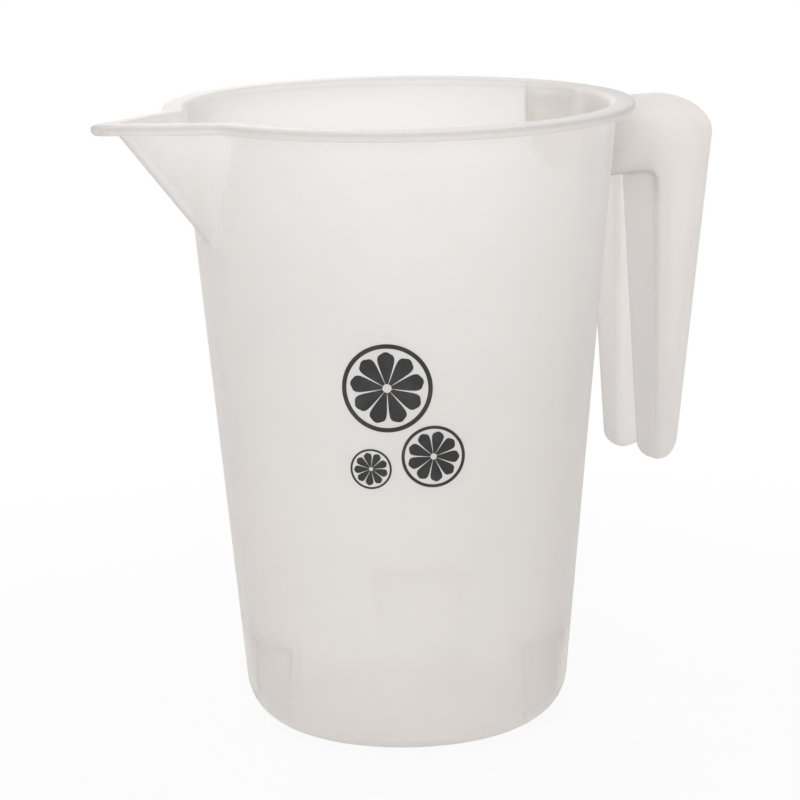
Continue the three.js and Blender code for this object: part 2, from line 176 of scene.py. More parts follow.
class PitcherHandleSizes(bpy.types.PropertyGroup):
    """Sizes of the hood and the grip."""

    projection: length("Projection", "From the wall at the rim to the back of the grip", 0.0432)
    hood_top: length("Hood top", "Height of the crown of the hood", 0.1845)
    hood_depth: length("Hood depth", "Height of the hood", 0.0221)
    root_half_width: length("Root half width", "Half of the hood's width on the body", 0.025)
    root_lean: length("Root lean", "How much narrower the root is at the hood's lower edge", 0.011)
    # Root shade: how far the painted shade runs out from the body
    root_shade: length("Root shade", "How far the denser plastic runs out from the body", 0.016)
    shoulder_drop: length("Shoulder drop", "Height over which the back rounds off", 0.012)
    shoulder_length: length("Shoulder length", "Length over which the back rounds off", 0.020)
    crown_drop: length("Crown drop", "Height over which the sides round off", 0.013)
    rib_drop: length("Rib drop", "From the hood's lower edge up to the web inside it", 0.004)
    rib_thickness: length("Rib thickness", "Thickness of the web", 0.002)
    grip_length: length("Grip length", "From the hood to the lower end", 0.091)
    half_width: length("Half width", "Half of the grip's width at the hood", 0.01325)
    side_draft: angle("Side draft", "Taper of the sides", 0.9)
    back_draft: angle("Back draft", "Lean of the back", 7.1)
    back_round: length("Back rounding", "Depth of the rounded back", 0.012)
    edge_setback: length("Edge setback", "From the back to the front edge of the shell", 0.0242)
    # Edge line and edge spread: width of the painted shade line along the open edge
    edge_line: length("Edge line", "Half width of the dense line along the open edge", 0.0012)
    edge_spread: number("Edge spread", "How much broader that line gets towards the lower end", 1.5)
    corner_radius: length("Corner radius", "Rounded corner under the hood", 0.0035)
    end_radius: length("End radius", "Front rounding of the lower end", 0.0085)
    end_setback: length("End setback", "From the back to the lowest point", 0.0135)
    end_rise: length("End rise", "Height over which the lower end rises to the back", 0.018)
    finger_gap: length("Finger gap", "From the wall to the flange under the hood", 0.0093)
    flange_draft: angle("Flange draft", "Lean of the flange's free edge", 3.7)
    flange_lap: length("Flange lap", "How far a flange runs behind the shell", 0.006)
    flange_step: length("Flange step", "How far a flange is set in at the top", 0.0022)
    flange_step_end: length("Flange step at the end", "How far a flange is set in at the bottom", 0.0012)


class PitcherPrintSizes(bpy.types.PropertyGroup):
    """Sizes of the printed motif: three slices of fruit."""

    height: length("Height", "Middle of the print above the table", 0.104)
    turn: angle("Turn", "Where the print faces, from the front towards the spout", 27.8)
    film: length("Film", "Thickness of the ink", 0.00008)
    segments: whole("Segments", "Wedges in a slice", 9, min=3)
    peel: share("Peel", "Width of the peel as a share of the slice", 0.10)
    gap: share("Gap", "Space between peel and wedges as a share of the slice", 0.08)
    core: share("Core", "Where the wedges start, as a share of the slice", 0.1)
    fill: share("Fill", "Share of the circle that the wedges cover", 0.84)
    large: place_and_radius("Large slice", "Right, up and radius", (-0.0045, 0.0095, 0.0130))
    medium: place_and_radius("Medium slice", "Right, up and radius", (0.0085, -0.0110, 0.0092))
    small: place_and_radius("Small slice", "Right, up and radius", (-0.0095, -0.0145, 0.0060))


class PitcherFinish(bpy.types.PropertyGroup):
    """Colours and gloss."""

    plastic: colour("Plastic", "Colour of the polypropylene", (0.86, 0.836, 0.818))
    # The handle is the same polypropylene as the body: its paler colour and glow are painted light, which
    # makes it brighter than the lamps light it
    handle_plastic: colour("Handle plastic", "Colour of the thicker handle", (0.98, 0.957, 0.941))
    glow: colour("Glow", "Colour of light through the wall", (0.925, 0.905, 0.885))
    handle_glow: colour("Handle glow", "Colour of light through the handle", (0.96, 0.942, 0.927))
    through: share("Light through", "Share of the light that comes through the wall", 0.5)
    handle_through: share("Light through the handle", "Share that comes through the handle", 0.57)
    clear: share("Clearness", "Share of the view straight through a surface of the body", 0.5)
    handle_clear: share("Handle clearness", "Share of the view straight through the handle", 0.3)
    roughness: share("Roughness", "Satin finish of the plastic", 0.4)
    ink: colour("Ink", "Colour of the print", (0.012, 0.012, 0.013))


class PitcherStageSizes(bpy.types.PropertyGroup):
    """Camera and light."""

    distance: length("Distance", "From the body's axis to the camera, level", 0.9216)
    eye_height: length("Eye height", "Camera above the table", 0.2965)
    azimuth: angle("Azimuth", "Camera from the front towards the spout", 27.8)
    pitch: tilt("Pitch", "Camera below level", 0.2125)
    pan: tilt("Pan", "Camera to the right", -0.001)
    roll: tilt("Roll", "Camera about its own axis", -0.0154)
    focal_pixels: number("Focal length", "In pixels of an image 800 wide", 3123.0)
    ambient: number("Ambient", "Strength of the white room", 0.46)
    overhead: power("Overhead", "Power of the overhead softbox", 4.5)
    key: power("Key", "Power of the softbox in front on the spout's side", 7.5)
    back: power("Back", "Power of the softbox behind", 7.5)


# Node trees


class Value:
    """A socket of a node tree. Arithmetic on it adds Math nodes."""

    def __init__(self, tree, socket):
        self.tree = tree
        self.socket = socket

    def __getitem__(self, name):
        """Another output of the same node."""
        return Value(self.tree, self.socket.node.outputs[name])

    def math(self, operation, *others):
        """A Math node on this value and others."""
        inputs = dict(enumerate((self, *others)))
        return add_node(self.tree, "ShaderNodeMath", {"operation": operation}, inputs)

    def most(self, other):
        """The larger of two values."""
        return self.math("MAXIMUM", other)

    def reflected(self, operation, other):
        """A Math node with the plain number first."""
        return add_node(self.tree, "ShaderNodeMath", {"operation": operation}, {0: other, 1: self})

    def __add__(self, other):
        return self.math("ADD", other)

    __radd__ = __add__

    def __sub__(self, other):
        return self.math("SUBTRACT", other)

    def __rsub__(self, other):
        return self.reflected("SUBTRACT", other)

    def __mul__(self, other):
        return self.math("MULTIPLY", other)

    __rmul__ = __mul__

    def __truediv__(self, other):
        return self.math("DIVIDE", other)

    def __rtruediv__(self, other):
        return self.reflected("DIVIDE", other)

    def __abs__(self):
        return self.math("ABSOLUTE")

    def clamped(self):
        """Held between 0 and 1."""
        return self.math("MAXIMUM", 0.0).math("MINIMUM", 1.0)


def add_node(tree, kind, settings, inputs, output=0):
    """Adds a node, sets it up, fills or links its sockets and returns one output."""
    node = tree.nodes.new(kind)
    for name, value in settings.items():
        if name == "stops":
            for element, (position, tone) in zip(node.color_ramp.elements, value):
                element.position = position
                element.color = tone
        else:
            setattr(node, name, value)
    for key, value in inputs.items():
        if isinstance(value, Value):
            tree.links.new(value.socket, node.inputs[key])
        else:
            node.inputs[key].default_value = value
    return Value(tree, node.outputs[output])


def combined(tree, x, y, z):
    """A vector of three values."""
    return add_node(tree, "ShaderNodeCombineXYZ", {}, {"X": x, "Y": y, "Z": z})


def separated(vector):
    """The parts of a vector, as outputs X, Y and Z."""
    return add_node(vector.tree, "ShaderNodeSeparateXYZ", {}, {0: vector})


def moved(geometry, place):
    """A geometry with its points at new places."""
    inputs = {"Geometry": geometry, "Position": place}
    return add_node(geometry.tree, "GeometryNodeSetPosition", {}, inputs)


def noise(place, scale, detail):
    """A noise texture over a place."""
    inputs = {"Vector": place, "Scale": scale, "Detail": detail}
    return add_node(place.tree, "ShaderNodeTexNoise", {}, inputs)


def opaque(tones):
    """A colour with full alpha."""
    return (*tones, 1.0)


def labelled(settings, *names):
    """Settings under the names that the panel shows."""
    return {settings.bl_rna.properties[name].name: getattr(settings, name) for name in names}


def linked(name, data):
    """A new object in the scene."""
    item = bpy.data.objects.new(name, data)
    bpy.context.collection.objects.link(item)
    return item


def evaluated(item):
    """The mesh that an object's modifiers give."""
    graph = bpy.context.evaluated_depsgraph_get()
    return bpy.data.meshes.new_from_object(item.evaluated_get(graph))


def new_geometry_tree(name, sizes):
    """A Geometry Nodes tree with a geometry input, named size inputs and a material input."""
    tree = bpy.data.node_groups.new(name, "GeometryNodeTree")
    tree.interface.new_socket("Geometry", in_out="INPUT", socket_type="NodeSocketGeometry")
    for label, value in sizes.items():
        kind = "NodeSocketInt" if isinstance(value, int) else "NodeSocketFloat"
        tree.interface.new_socket(label, in_out="INPUT", socket_type=kind)
    tree.interface.new_socket("Material", in_out="INPUT", socket_type="NodeSocketMaterial")
    tree.interface.new_socket("Geometry", in_out="OUTPUT", socket_type="NodeSocketGeometry")
    return tree, add_node(tree, "NodeGroupInput", {}, {})


def end_geometry_tree(tree, geometry, material):
    """Realizes instances, sets the material and connects the output."""
    real = add_node(tree, "GeometryNodeRealizeInstances", {}, {0: geometry})
    painted = add_node(tree, "GeometryNodeSetMaterial", {}, {"Geometry": real, "Material": material})
    add_output(tree, "NodeGroupOutput", painted)


def add_output(tree, kind, value):
    """Adds the output node and links the value to its first socket."""
    node = tree.nodes.new(kind)
    tree.links.new(value.socket, node.inputs[0])


def run_geometry_tree(name, points, tree, sizes, material):
    """Runs a tree on loose points and returns the plain mesh object."""
    seed = bpy.data.meshes.new(name + "_points")
    seed.from_pydata(points, [], [])
    holder = linked(name + "_points", seed)
    modifier = holder.modifiers.new("shape", "NODES")
    modifier.node_group = tree
    for item in tree.interface.items_tree:
        if item.in_out == "INPUT" and item.name in sizes:
            modifier[item.identifier] = sizes[item.name]
        if item.in_out == "INPUT" and item.name == "Material":
            modifier[item.identifier] = material
    mesh = evaluated(holder)
    holder.modifiers.clear()
    bpy.data.objects.remove(holder)
    bpy.data.meshes.remove(seed)
    mesh.name = name
    if not mesh.polygons:
        raise RuntimeError("no faces came out of the tree for " + name)
    return linked(name, mesh)


# Mesh helpers


def outward(mesh):
    """Merges doubles and turns every face outwards."""
    work = bmesh.new()
    work.from_mesh(mesh)
    bmesh.ops.remove_doubles(work, verts=work.verts, dist=MERGE_DISTANCE)
    bmesh.ops.dissolve_degenerate(work, dist=1e-7, edges=work.edges)
    bmesh.ops.recalc_face_normals(work, faces=work.faces)
    work.to_mesh(mesh)
    work.free()


def shade(mesh):
    """Smooth shading with the sharp edges kept."""
    mesh.polygons.foreach_set("use_smooth", [True] * len(mesh.polygons))
    mesh.set_sharp_from_angle(angle=SMOOTH_ANGLE)
    mesh.update()


def closed_mesh(name, points, faces):
    """A mesh with every face turned outwards."""
    mesh = bpy.data.meshes.new(name)
    mesh.from_pydata(points, [], faces)
    outward(mesh)
    return mesh


def loft(name, sections):
    """A closed solid through plan outlines of equal count, given as (height, points)."""
    count = len(sections[0][1])
    points = [(x, y, z) for z, outline in sections for x, y in outline]
    faces = []
    for level in range(len(sections) - 1):
        low = level * count
        for i in range(count):
            j = (i + 1) % count
            faces.append((low + i, low + j, low + count + j, low + count + i))
    faces.append(tuple(reversed(range(count))))
    faces.append(tuple(range(len(points) - count, len(points))))
    return closed_mesh(name, points, faces)


def slab(name, side, half_width):
    """A closed solid: a side view in X and Z, drawn out to both sides of Y."""
    count = len(side)
    points = [(x, -half_width, z) for x, z in side]
    points += [(x, half_width, z) for x, z in side]
    faces = [tuple(range(count)), tuple(reversed(range(count, 2 * count)))]
    for i in range(count):
        j = (i + 1) % count
        faces.append((i, j, count + j, count + i))
    return closed_mesh(name, points, faces)


def combine(first, second, operation):
    """A boolean of two closed meshes, as a new mesh."""
    keep = linked("keep", first)
    tool = linked("tool", second)
    modifier = keep.modifiers.new("cut", "BOOLEAN")
    modifier.operation = operation
    modifier.solver = "EXACT"
    modifier.object = tool
    mesh = evaluated(keep)
    bpy.data.objects.remove(keep)
    bpy.data.objects.remove(tool)
    if not mesh.polygons:
        raise RuntimeError("a boolean left nothing: " + operation)
    return mesh


def place_piece(piece, nodes=()):
    """Fixes a finished piece to the frame."""
    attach(piece, "root")
    if nodes:
        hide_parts(*nodes)


# Materials


def new_material(name):
    """An empty node material and its tree."""
    material = bpy.data.materials.new(name)
    material.use_nodes = True
    material.node_tree.nodes.clear()
    return material, material.node_tree


def milky_polypropylene(name, finish, prefix="", painted_shade_at=None):
    """Satin plastic that lets light and a faint view through, with flow mottling and a fine grain.

    The prefix picks the finish. Where shade is painted, darkening the colour and letting less light
    and view through, comes from the given function, or else from the mesh's own attribute.
    """
    settings = ("plastic", "glow", "clear", "through")
    shade_of, glow_of, clear, through = (getattr(finish, prefix + item) for item in settings)
    flow_gloss = 0.12
    grain_gloss = 0.08
    material, tree = new_material(name)
    place = add_node(tree, "ShaderNodeTexCoord", {}, {})["Object"]
    flow = noise(place, 34.0, 3.0)
    grain = noise(place, 1900.0, 2.0)
    if painted_shade_at:
        thick = painted_shade_at(place)
    else:
        thick = add_node(tree, "ShaderNodeAttribute", {"attribute_name": "thick"}, {}, "Fac")
    deep = opaque(tone * MOTTLE_DARK for tone in shade_of)
    pale = opaque(min(tone * MOTTLE_PALE, 1.0) for tone in shade_of)
    # Painted shade: the darker tone that the shade mask mixes in
    painted_dark = opaque(tone * SHADE_TONE for tone in shade_of)
    mottled = add_node(tree, "ShaderNodeValToRGB", {"stops": [(0.3, deep), (0.7, pale)]}, {"Fac": flow})
    tone = add_node(tree, "ShaderNodeMix", {"data_type": "RGBA"}, {0: thick, 6: mottled, 7: painted_dark}, 2)
    gloss = finish.roughness + (flow - 0.5) * flow_gloss + (grain - 0.5) * grain_gloss
    bump = add_node(tree, "ShaderNodeBump", {}, {"Strength": 0.08, "Distance": 0.0002, "Height": grain})
    surface = {"Base Color": tone, "Roughness": gloss, "Normal": bump, "IOR": REFRACTION}
    plastic = add_node(tree, "ShaderNodeBsdfPrincipled", {}, surface)
    glow = add_node(tree, "ShaderNodeBsdfTranslucent", {}, {"Color": opaque(glow_of)})
    # Painted shade also lets less light and less of the view through
    let_through = through * (1.0 - thick * SHADE_LIGHT_LOSS)
    milky = add_node(tree, "ShaderNodeMixShader", {}, {0: let_through, 1: plastic, 2: glow})
    view = add_node(tree, "ShaderNodeBsdfTransparent", {}, {})
    slanted = add_node(tree, "ShaderNodeLayerWeight", {}, {"Blend": 0.5}, "Facing")
    see_through = clear * (1.0 - slanted * slanted) * (1.0 - thick * SHADE_VIEW_LOSS)
    mixed = add_node(tree, "ShaderNodeMixShader", {}, {0: see_through, 1: milky, 2: view})
    add_output(tree, "ShaderNodeOutputMaterial", mixed)
    return material


def printing_ink(name, finish):
    """Screen-printing ink: nearly black, satin, with the faint unevenness of a mesh screen."""
    worn_gain = 2.6
    worn_lift = 0.006
    satin = 0.42
    unevenness = 0.2
    material, tree = new_material(name)
    place = add_node(tree, "ShaderNodeTexCoord", {}, {})["Object"]
    screen = noise(place, 1400.0, 2.0)
    patch = noise(place, 120.0, 2.0)
    deep = opaque(finish.ink)
    worn = opaque(tone * worn_gain + worn_lift for tone in finish.ink)
    tone = add_node(tree, "ShaderNodeValToRGB", {"stops": [(0.42, deep), (0.72, worn)]}, {"Fac": patch})
    bump = add_node(tree, "ShaderNodeBump", {}, {"Strength": 0.15, "Distance": 0.0001, "Height": screen})
    gloss = satin + (screen - 0.5) * unevenness
    surface = {"Base Color": tone, "Roughness": gloss, "Normal": bump}
    ink = add_node(tree, "ShaderNodeBsdfPrincipled", {}, surface)
    add_output(tree, "ShaderNodeOutputMaterial", ink)
    return material


# Body, rim and spout: one skin


def oval_points(centre, wide, tall, start, end, steps):
    """Points of an oval in a profile, from one angle to another."""
    turns = [start + (end - start) * i / steps for i in range(steps + 1)]
    return [(centre[0] + wide * math.cos(turn), centre[1] + tall * math.sin(turn)) for turn in turns]


def arc_points(centre, radius, start, end, steps):
    """Points of an arc in a profile, from one angle to another."""
    return oval_points(centre, radius, radius, start, end, steps)


def body_profile(sizes):
    """Rows of the skin, from under the floor to its top: radius, offset from the wall, height."""
    fine_step = 0.0016
    coarse_step = 0.006
    fine_from = sizes.height * 0.72
    outer_start = 0.003
    inner_start = 0.004
    outer_stop = 0.0004
    inner_stop = 0.0008
    taper = (sizes.top_radius - sizes.base_radius) / sizes.height
    slant = math.hypot(1.0, taper)
    wall = sizes.wall
    heel = sizes.heel_radius
    heel_middle = sizes.base_radius + taper * heel - heel * slant
    foot_inner = heel_middle - sizes.foot_width
    recess = sizes.foot_recess
    gate = sizes.gate_radius
    soft = sizes.edge_round
    lean = math.atan(taper)
    rows = [(0.0, 0.0, recess - sizes.gate_height), (gate * 0.8, 0.0, recess - sizes.gate_height)]
    rows += [(gate, 0.0, recess - sizes.gate_height * 0.6), (gate * 1.1, 0.0, recess)]
    rows += [(foot_inner * share_out, 0.0, recess) for share_out in (0.4, 0.7, 0.96)]
    rows += [(foot_inner + soft * 0.3, 0.0, soft * 0.7), (foot_inner + soft, 0.0, 0.0)]
    rows += [(heel_middle - sizes.foot_width / 3, 0.0, 0.0)]
    for r, z in arc_points((heel_middle, heel), heel, -math.pi / 2, -lean, 16):
        rows.append((r, 0.0, z))

    def wall_rows(first, last, offset):
        step_level = sizes.shoulder_height - offset * slant
        levels = [step_level + shift * soft for shift in (-1.2, -0.6, 0.0, 0.6, 1.2)]
        level = first
        while level < last:
            if abs(level - step_level) > soft * 3:
                levels.append(level)
            level += fine_step if level > fine_from else coarse_step
        return [(sizes.base_radius + taper * z + offset * slant, offset, z) for z in sorted(levels)]

    top = sizes.height
    under = top - sizes.rim_plate
    low = top - sizes.rim_height
    outside = sizes.rim_width
    inside = outside - sizes.rim_edge
    fillet = wall * 0.9
    heel_top = heel * (1 - math.sin(lean))
    rows += wall_rows(heel_top + outer_start, under - fillet - outer_stop, 0.0)
    rim = arc_points((fillet, under - fillet), fillet, math.pi, math.pi / 2, 6)
    rim += [(inside - soft, under), (inside, under - soft), (inside, low + soft)]
    rim += arc_points((inside + soft, low + soft), soft, math.pi, 1.5 * math.pi, 3)[1:]
    rim += arc_points((outside - soft, low + soft), soft, -math.pi / 2, 0.0, 3)
    rim += [(outside, top - 4 * soft), (outside, top - 3 * soft)]
    rim += arc_points((outside - 2 * soft, top - 2 * soft), 2 * soft, 0.0, math.pi / 2, 5)
    mouth = sizes.rim_round - wall
    rim += [((outside - 2 * soft + mouth) / 2, top)]
    rim += arc_points((mouth, top - sizes.rim_round), sizes.rim_round, math.pi / 2, math.pi, 10)
    rows += [(sizes.base_radius + taper * z + offset, offset, z) for offset, z in rim]
    inner = wall_rows(heel_top + inner_start, top - sizes.rim_round - inner_stop, -wall)
    rows += list(reversed(inner))
    for r, z in arc_points((heel_middle, heel), heel - wall, -lean, -math.pi / 2, 14):
        rows.append((r, -wall, z))
    rows += [(foot_inner + soft, -wall, wall), (foot_inner - 2 * soft, -wall, wall + recess)]
    rows += [(foot_inner * share_out, -wall, wall + recess) for share_out in (0.6, 0.3)]
    rows += [(0.0, -wall, wall + recess)]
    return rows


def hood_root_shade(given, turn, radius, height):
    """Painted shade on the wall where the hood joins it: a dark line along the root, a shaded panel
    inside it and less shade over the web.
    """
    fade = 20.0
    aside = radius * turn.math("SINE")
    soft = given["Edge rounding"] * 2.0
    behind = (turn - math.pi / 2).math("SIGN").clamped()
    up = (height - given["Hood bottom"]) / given["Hood height"]
    level = (up * fade).clamped() * ((1.0 - up) * fade).clamped() * behind
    half = given["Root half width"] - given["Root lean"] * (1.0 - up).math("POWER", 3.0)
    inside = ((half - aside) / soft).clamped()
    line = (1.0 - abs(half - given["Root line"] - aside) / given["Root line"]).clamped()
    web = (1.0 - (aside - given["Web half width"]) / soft).clamped()
    low = (1.0 - up * 2.0).clamped()
    # Painted shade on the panel, stronger low down and weaker towards its sides
    strength = low * ROOT_PANEL_LOW_SHADE + ROOT_PANEL_SHADE - aside / half * ROOT_PANEL_SIDE_SHADE_LOSS
    return level * line.most(inside * strength * (1.0 - web))


def near_edge(from_middle, half):
    """1 at the edge of a stepped panel, 0 at its middle and as far outside it."""
    return (1.0 - abs(from_middle - half) / half).clamped()


def body_tree(sizes):
    """Turns the profile rows about the axis, draws out the spout, steps in the three shoulders and stores
    where shade is painted.
    """
    tree, given = new_geometry_tree("pitcher_skin", sizes)
    size_of = {"component": "MESH"}
    rows = add_node(tree, "GeometryNodeAttributeDomainSize", size_of, {0: given}, "Point Count")
    columns = given["Columns"]
    around = columns + 1
    grid = add_node(tree, "GeometryNodeMeshGrid", {}, {"Vertices X": rows, "Vertices Y": around})
    index = add_node(tree, "GeometryNodeInputIndex", {}, {})
    row = (index / around).math("FLOOR")
    column = index - row * around
    position = add_node(tree, "GeometryNodeInputPosition", {}, {})
    sample = add_node(
        tree,
        "GeometryNodeSampleIndex",
        {"data_type": "FLOAT_VECTOR", "domain": "POINT"},
        {"Geometry": given, "Value": position, "Index": row},
    )
    parts = separated(sample)
    radius = parts["X"]
    offset = parts["Y"]
    height = parts["Z"]
    turn = (column / columns * 2.0 - 1.0) * math.pi

    half = given["Half angle"]
    rounding = given["Prow rounding"]
    from_prow = (turn * turn + rounding * rounding).math("SQRT")
    below_lip = (given["Lip level"] - height).most(0.0)
    reach = given["Apex"] - given["Prow slope"] * below_lip
    flank_angle = (half + from_prow).math("MINIMUM", math.pi / 2)
    lip_offset = offset.most(0.0) * given["Lip share"] + offset.math("MINIMUM", 0.0)
    flank = (reach * half.math("SINE") + lip_offset) / flank_angle.math("SINE")
    blend = given["Blend"]
    near = (blend - abs(radius - flank)).most(0.0)
    skin = radius.most(flank) + near * near / (blend * 4.0)

    inward = offset.math("MINIMUM", 0.0)
    limit = given["Shoulder radius"] + inward
    down = (1.0 - height / given["Shoulder height"]).clamped()
    half_angle = given["Shoulder half angle"]
    half_panel = half_angle - inward / given["Shoulder radius"]
    from_side = abs(turn) - (math.pi - given["Shoulder place"])
    soft = given["Edge rounding"]
    soft_turn = soft * 2.2 / given["Shoulder radius"]
    front_panel = ((half_panel - abs(turn)) / soft_turn + 0.5).clamped()
    side_panel = ((half_panel - abs(from_side)) / soft_turn + 0.5).clamped()
    drawn_in = near_edge(abs(from_side), half_angle) * from_side.math("SIGN")
    drawn_in = near_edge(abs(turn), half_angle) + drawn_in
    placed_turn = turn.math("SIGN") * (abs(turn) - drawn_in * down * given["Shoulder taper"])
    under_step = given["Shoulder height"] - inward - height
    low_enough = (under_step / soft + 0.5).clamped()
    panel = front_panel.most(side_panel) * low_enough

    # Painted shade: dark bands on the rim's outer face, at its top and lower edges, along the prow, on
    # the stepped panels, on their steps and at the foot
    from_top = (given["Rim top"] - height) / soft
    rim_face_shade = ((offset - given["Rim width"]) * 2.0 / soft + 1.2).clamped()
    rim_edge = rim_face_shade * (4.0 - from_top).clamped()
    rim_low_shade = rim_face_shade * (from_top - given["Rim height"] / soft + 1.6).clamped()
    in_spout = ((flank - radius) / blend).clamped()
    outer_skin = (1.0 + offset * 2000.0).clamped()
    prow_shade = (1.0 - abs(turn) * flank / given["Prow width"]).clamped() * in_spout * outer_skin
    foot_shade = (1.0 - height / given["Foot line"]).clamped() * outer_skin
    stepped = ((skin - limit) / soft + 1.0).clamped() * outer_skin
    step_line_shade = panel * (1.0 - panel) * 4.0 * stepped
    # Painted shade: the darkest of all these masks, stored as a point attribute
    thick = hood_root_shade(given, abs(turn), radius, height)
    for mask, level in (
        (prow_shade * prow_shade, PROW_SHADE),
        (panel * stepped, PANEL_SHADE),
        (step_line_shade, STEP_LINE_SHADE),
        (rim_face_shade, RIM_FACE_SHADE),
        (rim_edge, RIM_EDGE_SHADE),
        (rim_low_shade, RIM_LOW_SHADE),
        (foot_shade, FOOT_SHADE),
    ):
        thick = thick.most(mask * level)

    skin = skin - panel * (skin - limit).most(0.0)
    x = given["Axis"] - skin * placed_turn.math("COSINE")
    y = 0.0 - skin * placed_turn.math("SINE")
    shaped = moved(grid, combined(tree, x, y, height))
    marked = add_node(
        tree,
        "GeometryNodeStoreNamedAttribute",
        {"data_type": "FLOAT", "domain": "POINT"},
        {"Geometry": shaped, "Name": "thick", "Value": thick},
    )
    closed = {"Geometry": marked, "Distance": MERGE_DISTANCE}
    merged = add_node(tree, "GeometryNodeMergeByDistance", {}, closed)
    end_geometry_tree(tree, merged, given["Material"])
    return tree


class PITCHER_OT_body(bpy.types.Operator):
    """Makes the body with its rim, spout, heel shoulders and floor as one moulded skin."""

    bl_idname = "pitcher.body"
    bl_label = "Body"

    def execute(self, context):
        body = context.scene.pitcher_body
        spout = context.scene.pitcher_spout
        handle = context.scene.pitcher_handle
        finish = context.scene.pitcher_finish
        sizes = {
            **labelled(body, "columns", "edge_round", "rim_width", "rim_height", "foot_line"),
            **labelled(body, "shoulder_height", "shoulder_radius", "shoulder_half_angle"),
            **labelled(body, "shoulder_taper", "shoulder_from_handle"),
            **labelled(spout, "apex", "half_angle", "slope", "prow_round", "prow_width"),
            **labelled(spout, "lip_level", "blend"),
            **labelled(handle, "root_half_width", "root_lean"),
            "Axis": AXIS_X,
            "Lip share": spout.lip_width / body.rim_width,
            "Rim top": body.height,
            "Hood bottom": handle.hood_top - handle.hood_depth,
            "Hood height": body.height - handle.hood_top + handle.hood_depth,
            "Root line": body.wall * 0.6,
            "Web half width": handle.rib_thickness * 1.6,
        }
        material = milky_polypropylene("milky_polypropylene", finish)
        piece = run_geometry_tree("moulded_body", body_profile(body), body_tree(sizes), sizes, material)
        outward(piece.data)
        shade(piece.data)
        place_piece(piece, BODY_NODES)
        return {"FINISHED"}


# Handle: hood, grip, flanges and web in one moulded shell


